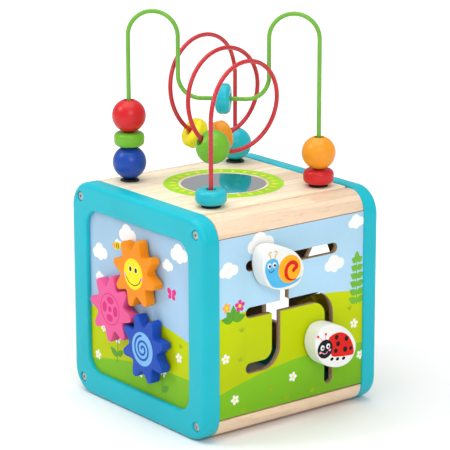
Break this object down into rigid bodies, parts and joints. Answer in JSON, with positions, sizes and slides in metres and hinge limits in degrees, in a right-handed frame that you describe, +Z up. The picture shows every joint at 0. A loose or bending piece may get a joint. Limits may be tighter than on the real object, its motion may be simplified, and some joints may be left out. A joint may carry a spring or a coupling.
{
  "type": "wooden activity cube with shape sorter",
  "caption": "Wooden play cube with coloured end frames, a wire bead maze on top, meshing gears, slide tracks and a shape sorter panel.",
  "frame": {"origin": "middle of the foot of the whole toy's box, on the surface it stands on", "axes": "+Z up; -X is the gear side, -Y the slide-track side, +X the shape-sorter side"},
  "size_m": [0.211, 0.2164, 0.3569],
  "materials": {
    "teal_paint": "satin teal paint on solid wood",
    "bare_wood": "clear satin lacquer on pale wood",
    "printed_ply": "plywood with a printed and lacquered picture",
    "mirror": "acrylic mirror",
    "screw_steel": "zinc-plated steel",
    "black_plastic": "moulded black plastic",
    "white_spacer": "white plastic washer",
    "printed_block": "painted wood block with a printed picture",
    "green_wire": "green powder-coated steel wire",
    "red_wire": "red powder-coated steel wire",
    "red_lacquer": "gloss lacquer on wood",
    "green_lacquer": "gloss lacquer on wood",
    "blue_lacquer": "gloss lacquer on wood",
    "orange_lacquer": "gloss lacquer on wood",
    "yellow_lacquer": "gloss lacquer on wood",
    "teal_lacquer": "gloss lacquer on wood",
    "orange_gear": "satin paint on a cut wood gear",
    "pink_gear": "satin paint on a cut wood gear",
    "blue_gear": "satin paint on a cut wood gear"
  },
  "bodies": {
    "cube": {"back_panel": "printed_ply", "frame_left": "teal_paint", "frame_right": "teal_paint", "gear_panel": "printed_ply", "gear_spacer_blue": "white_spacer", "gear_spacer_pink": "white_spacer", "gear_spacer_sun": "white_spacer", "grommet_back_left": "black_plastic", "grommet_back_right": "black_plastic", "grommet_front_left": "black_plastic", "grommet_front_right": "black_plastic", "mirror": "mirror", "rail_bottom_back": "bare_wood", "rail_bottom_front": "bare_wood", "rail_top_back": "bare_wood", "rail_top_front": "bare_wood", "screw_left_back_high": "screw_steel", "screw_left_back_low": "screw_steel", "screw_left_front_high": "screw_steel", "screw_left_front_low": "screw_steel", "screw_right_back_high": "screw_steel", "screw_right_back_low": "screw_steel", "screw_right_front_high": "screw_steel", "screw_right_front_low": "screw_steel", "slide_panel": "printed_ply", "sorter_panel": "printed_ply", "top_panel": "bare_wood", "wire_green": "green_wire", "wire_nut_back_left": "screw_steel", "wire_nut_back_right": "screw_steel", "wire_nut_front_left": "screw_steel", "wire_nut_front_right": "screw_steel", "wire_red": "red_wire"},
    "sun_gear": {"gear_sun": "orange_gear", "gear_axle_sun": "bare_wood"},
    "pink_gear": {"gear_pink": "pink_gear", "gear_axle_pink": "bare_wood"},
    "blue_gear": {"gear_blue": "blue_gear", "gear_axle_blue": "bare_wood"},
    "snail": {"snail_knob": "printed_block", "snail_peg": "bare_wood"},
    "ladybird": {"ladybird_knob": "printed_block", "ladybird_peg": "bare_wood"},
    "left_blue_ball": {"bead_left_blue_ball": "blue_lacquer"},
    "left_green_disc": {"bead_left_green_disc": "green_lacquer"},
    "left_red_ball": {"bead_left_red_ball": "red_lacquer"},
    "right_red_disc": {"bead_right_red_disc": "red_lacquer"},
    "right_orange_ball": {"bead_right_orange_ball": "orange_lacquer"},
    "front_teal_disc": {"bead_front_teal_disc": "teal_lacquer"},
    "back_teal_ball": {"bead_back_teal_ball": "teal_lacquer"},
    "valley_teal_disc": {"bead_valley_teal_disc": "teal_lacquer"},
    "loop_green_ball": {"bead_loop_green_ball": "green_lacquer"},
    "loop_orange_disc": {"bead_loop_orange_disc": "orange_lacquer"},
    "loop_yellow_disc": {"bead_loop_yellow_disc": "yellow_lacquer"},
    "round_block": {"block_round": "red_lacquer"},
    "hexagon_block": {"block_hexagon": "yellow_lacquer"}
  },
  "joints": [
    {"name": "pink_gear_turn", "type": "hinge", "parent": "cube", "child": "pink_gear", "pos_m": [-0.1005, 0.03861, 0.0941], "axis": [1, 0, 0], "continuous": true},
    {"name": "sun_gear_turn", "type": "hinge", "parent": "cube", "child": "sun_gear", "pos_m": [-0.1005, 0.00195, 0.1351], "axis": [1, 0, 0], "continuous": true},
    {"name": "blue_gear_turn", "type": "hinge", "parent": "cube", "child": "blue_gear", "pos_m": [-0.1005, -0.0104, 0.06913], "axis": [1, 0, 0], "continuous": true},
    {"name": "snail_slide", "type": "slide", "parent": "cube", "child": "snail", "axis": [1, 0, 0], "range_m": [-0.026, 0.067]},
    {"name": "ladybird_slide", "type": "slide", "parent": "cube", "child": "ladybird", "axis": [0, 0, 1], "range_m": [-0.033, 0.027]},
    {"name": "left_blue_ball_slide", "type": "slide", "parent": "cube", "child": "left_blue_ball", "axis": [0, 0, 1], "range_m": [0, 0.019]},
    {"name": "left_green_disc_slide", "type": "slide", "parent": "left_blue_ball", "child": "left_green_disc", "axis": [0, 0, 1], "range_m": [0, 0.019]},
    {"name": "left_red_ball_slide", "type": "slide", "parent": "left_green_disc", "child": "left_red_ball", "axis": [0, 0, 1], "range_m": [0, 0.019]},
    {"name": "right_red_disc_slide", "type": "slide", "parent": "cube", "child": "right_red_disc", "axis": [0, 0, 1], "range_m": [0, 0.043]},
    {"name": "right_orange_ball_slide", "type": "slide", "parent": "right_red_disc", "child": "right_orange_ball", "axis": [0, 0, 1], "range_m": [0, 0.043]},
    {"name": "front_teal_disc_slide", "type": "slide", "parent": "cube", "child": "front_teal_disc", "axis": [0, 0, 1], "range_m": [0, 0.058]},
    {"name": "back_teal_ball_slide", "type": "slide", "parent": "cube", "child": "back_teal_ball", "axis": [0, 0, 1], "range_m": [0, 0.05]},
    {"name": "valley_teal_disc_slide", "type": "slide", "parent": "cube", "child": "valley_teal_disc", "axis": [0.7071, -0.7071, 0], "range_m": [-0.014, 0.014]},
    {"name": "loop_green_ball_swing", "type": "hinge", "parent": "cube", "child": "loop_green_ball", "pos_m": [-0.00541, -0.01032, 0.27561], "axis": [0.1567, 0.9852, -0.0693], "range_deg": [-32, 35]},
    {"name": "loop_orange_disc_swing", "type": "hinge", "parent": "cube", "child": "loop_orange_disc", "pos_m": [0.00721, 0.02898, 0.27824], "axis": [0.1769, 0.9841, 0.0147], "range_deg": [-37, 4]},
    {"name": "loop_yellow_disc_swing", "type": "hinge", "parent": "cube", "child": "loop_yellow_disc", "pos_m": [0.00843, 0.03385, 0.27934], "axis": [0.1535, 0.983, -0.101], "range_deg": [-4, 37]},
    {"name": "round_block_push", "type": "slide", "parent": "cube", "child": "round_block", "axis": [1, 0, 0], "range_m": [-0.011, 0.016]},
    {"name": "hexagon_block_push", "type": "slide", "parent": "cube", "child": "hexagon_block", "axis": [1, 0, 0], "range_m": [-0.011, 0.016]}
  ],
  "couplings": [
    {"joint": "sun_gear_turn", "follows": "pink_gear_turn", "ratio": -1},
    {"joint": "blue_gear_turn", "follows": "pink_gear_turn", "ratio": -1}
  ]
}
